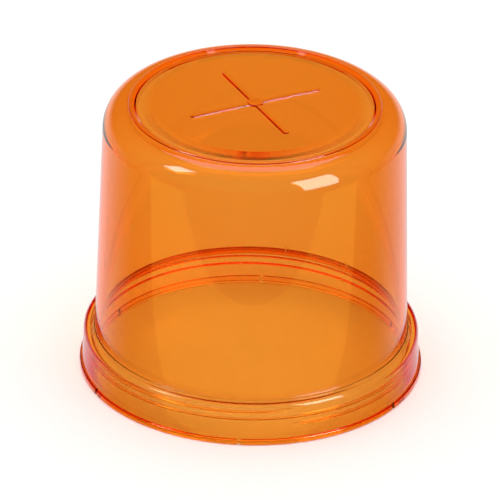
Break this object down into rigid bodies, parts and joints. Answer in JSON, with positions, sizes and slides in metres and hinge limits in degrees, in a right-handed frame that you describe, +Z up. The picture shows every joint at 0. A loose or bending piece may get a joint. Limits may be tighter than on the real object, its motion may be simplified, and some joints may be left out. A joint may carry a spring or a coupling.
{
  "type": "warning light dome lens",
  "caption": "Clear amber dome lens for a barricade warning light: drafted barrel, rounded shoulder, flat ringed top, and a threaded skirt with a notched seating lip.",
  "frame": {"origin": "centre of the seating lip's lower face, on the axis", "axes": "+Z up the axis to the flat ringed top; +X and +Y along the two bars of the cross on the top"},
  "size_m": [0.15, 0.15, 0.1283],
  "materials": {
    "amber_clear_plastic": "clear transparent amber polycarbonate, polished inside and out"
  },
  "bodies": {
    "root": {"dome_lens": "amber_clear_plastic"}
  },
  "joints": []
}
